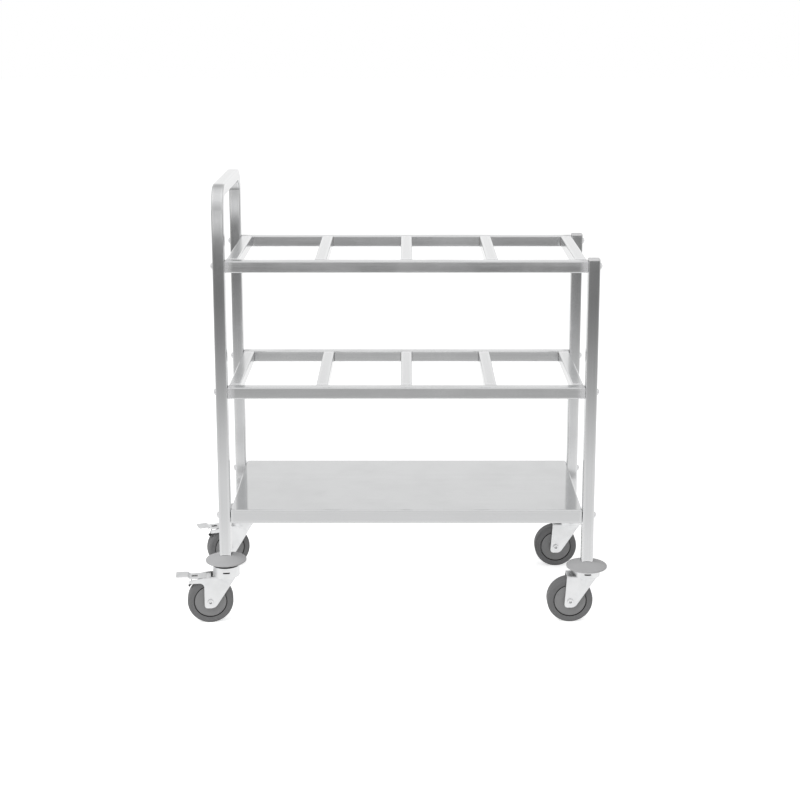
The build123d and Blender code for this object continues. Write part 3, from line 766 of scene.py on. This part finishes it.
def floor_material(glow):
    """Pale floor: white to the camera with its shadow kept, greyer far in front as steel sees it."""
    material, tree, shader, place = new_material("studio_floor")
    material.cycles.emission_sampling = "NONE"
    tree.nodes.remove(shader)
    output = tree.nodes["Material Output"]
    seen, glossy = shows_background(tree)
    diffuse = add_node(tree, "ShaderNodeBsdfDiffuse")
    diffuse.inputs["Color"].default_value = FLOOR_COLOR
    white = add_node(tree, "ShaderNodeEmission")
    tree.links.new(math_node(tree, "MULTIPLY", seen, glow), white.inputs["Strength"])
    open_floor = add_node(tree, "ShaderNodeAddShader")
    tree.links.new(diffuse.outputs["BSDF"], open_floor.inputs[0])
    tree.links.new(white.outputs["Emission"], open_floor.inputs[1])
    split = add_node(tree, "ShaderNodeSeparateXYZ")
    tree.links.new(place, split.inputs["Vector"])
    ahead = map_range(tree, split.outputs["Y"], front_face, front_face - FLOOR_SPAN)
    levels = [(distance / FLOOR_SPAN, level) for distance, level in FLOOR_LEVELS]
    near, far, side_level = FLOOR_SIDES
    aside = map_range(tree, math_node(tree, "ABSOLUTE", split.outputs["X"], 0.0), near, far)
    band = blended_to(tree, level_ramp(tree, ahead, levels), aside, (side_level, side_level, side_level, 1.0))
    sheen = add_node(tree, "ShaderNodeEmission")
    tree.links.new(band, sheen.inputs["Color"])
    reflected = add_node(tree, "ShaderNodeMixShader")
    tree.links.new(glossy, reflected.inputs["Fac"])
    tree.links.new(open_floor.outputs["Shader"], reflected.inputs[1])
    tree.links.new(sheen.outputs["Emission"], reflected.inputs[2])
    tree.links.new(reflected.outputs["Shader"], output.inputs["Surface"])
    return material


def studio_world(level):
    """White world to the camera, soft light on the object and bands of light for steel to reflect."""
    world = bpy.data.worlds.new("studio")
    world.use_nodes = True
    tree = world.node_tree
    background = tree.nodes["Background"]
    seen, glossy = shows_background(tree)
    coordinates = add_node(tree, "ShaderNodeTexCoord")
    split = add_node(tree, "ShaderNodeSeparateXYZ")
    tree.links.new(coordinates.outputs["Generated"], split.inputs["Vector"])
    bands = level_ramp(tree, map_range(tree, split.outputs["Y"], -1.0, 1.0), SKY_LEVELS)
    near, far, side_level = SKY_SIDES
    aside = map_range(tree, math_node(tree, "ABSOLUTE", split.outputs["X"], 0.0), near, far)
    bands = blended_to(tree, bands, aside, (side_level, side_level, side_level, 1.0))
    mix = add_node(tree, "ShaderNodeMix", data_type="RGBA")
    tree.links.new(glossy, mix.inputs["Factor"])
    mix.inputs["A"].default_value = WHITE
    tree.links.new(bands, mix.inputs["B"])
    tree.links.new(mix.outputs["Result"], background.inputs["Color"])
    bright = math_node(tree, "MAXIMUM", seen, glossy)
    tree.links.new(map_range(tree, bright, 0.0, 1.0, to_low=level), background.inputs["Strength"])
    return world


def area_lamp(name, power, place, target):
    """Square soft lamp at a place, turned to a target."""
    lamp = bpy.data.lights.new(name, "AREA")
    lamp.shape = "SQUARE"
    lamp.size = LAMP_SIZE
    lamp.energy = power
    lamp_object = bpy.data.objects.new(name, lamp)
    lamp_object.location = place
    lamp_object.visible_glossy = False
    lamp_object.rotation_euler = (Vector(target) - Vector(place)).to_track_quat("-Z", "Y").to_euler()
    bpy.context.scene.collection.objects.link(lamp_object)


class TROLLEY_OT_stage(Operator):
    """Floor, world, lamps and the camera"""

    bl_idname = "trolley.stage"
    bl_label = "Stage"

    def execute(self, context):
        studio = context.scene.trolley_studio
        builder = bmesh.new()
        bmesh.ops.create_grid(builder, x_segments=1, y_segments=1, size=FLOOR_HALF)
        mesh = bpy.data.meshes.new("floor")
        builder.to_mesh(mesh)
        builder.free()
        mesh.materials.append(floor_material(studio.floor_glow))
        floor = bpy.data.objects.new("floor", mesh)
        context.scene.collection.objects.link(floor)
        context.scene.world = studio_world(studio.world_level)
        middle = (frame_middle, 0.0, handle_high.z / 2)
        area_lamp("key_lamp", studio.key_power, KEY_PLACE, middle)
        area_lamp("fill_lamp", studio.fill_power, FILL_PLACE, middle)
        lens = bpy.data.cameras.new("camera")
        lens.lens = studio.lens
        lens.shift_x = studio.shift_x
        lens.shift_y = studio.shift_y
        camera = bpy.data.objects.new("camera", lens)
        camera.location = (frame_middle, -studio.camera_distance, studio.camera_height)
        camera.rotation_euler = (pi / 2 - studio.camera_tilt, 0.0, 0.0)
        context.scene.collection.objects.link(camera)
        context.scene.camera = camera
        context.scene.view_settings.view_transform = "Standard"
        return {"FINISHED"}


OPERATORS = (
    TROLLEY_OT_frame_tubes,
    TROLLEY_OT_tray,
    TROLLEY_OT_fasteners,
    TROLLEY_OT_welds,
    TROLLEY_OT_casters,
    TROLLEY_OT_wheels,
    TROLLEY_OT_stage,
)


class TROLLEY_PT_sidebar(Panel):
    """Sidebar page with the trolley's sizes, colours and steps"""

    bl_label = "Gastronorm trolley"
    bl_idname = "TROLLEY_PT_sidebar"
    bl_space_type = "VIEW_3D"
    bl_region_type = "UI"
    bl_category = "Trolley"

    def draw(self, context):
        for name in SETTINGS:
            settings = getattr(context.scene, name)
            box = self.layout.box()
            for prop in settings.__annotations__:
                box.prop(settings, prop)
        for operator in OPERATORS:
            self.layout.operator(operator.bl_idname)


SETTINGS = {
    "trolley_steel": SteelFinish,
    "trolley_moulded": MouldedFinish,
    "trolley_weld": WeldSizes,
    "trolley_studio": StudioSettings,
}


def register():
    for group in SETTINGS.values():
        bpy.utils.register_class(group)
    for name, group in SETTINGS.items():
        setattr(bpy.types.Scene, name, PointerProperty(type=group))
    for operator in OPERATORS:
        bpy.utils.register_class(operator)
    bpy.utils.register_class(TROLLEY_PT_sidebar)


def unregister():
    bpy.utils.unregister_class(TROLLEY_PT_sidebar)
    for operator in reversed(OPERATORS):
        bpy.utils.unregister_class(operator)
    for name, group in SETTINGS.items():
        delattr(bpy.types.Scene, name)
        bpy.utils.unregister_class(group)


def main():
    register()
    bpy.ops.trolley.frame_tubes()
    bpy.ops.trolley.tray()
    bpy.ops.trolley.fasteners()
    bpy.ops.trolley.welds()
    bpy.ops.trolley.casters()
    bpy.ops.trolley.wheels()
    bpy.ops.trolley.stage()


if __name__ == "__main__":
    main()
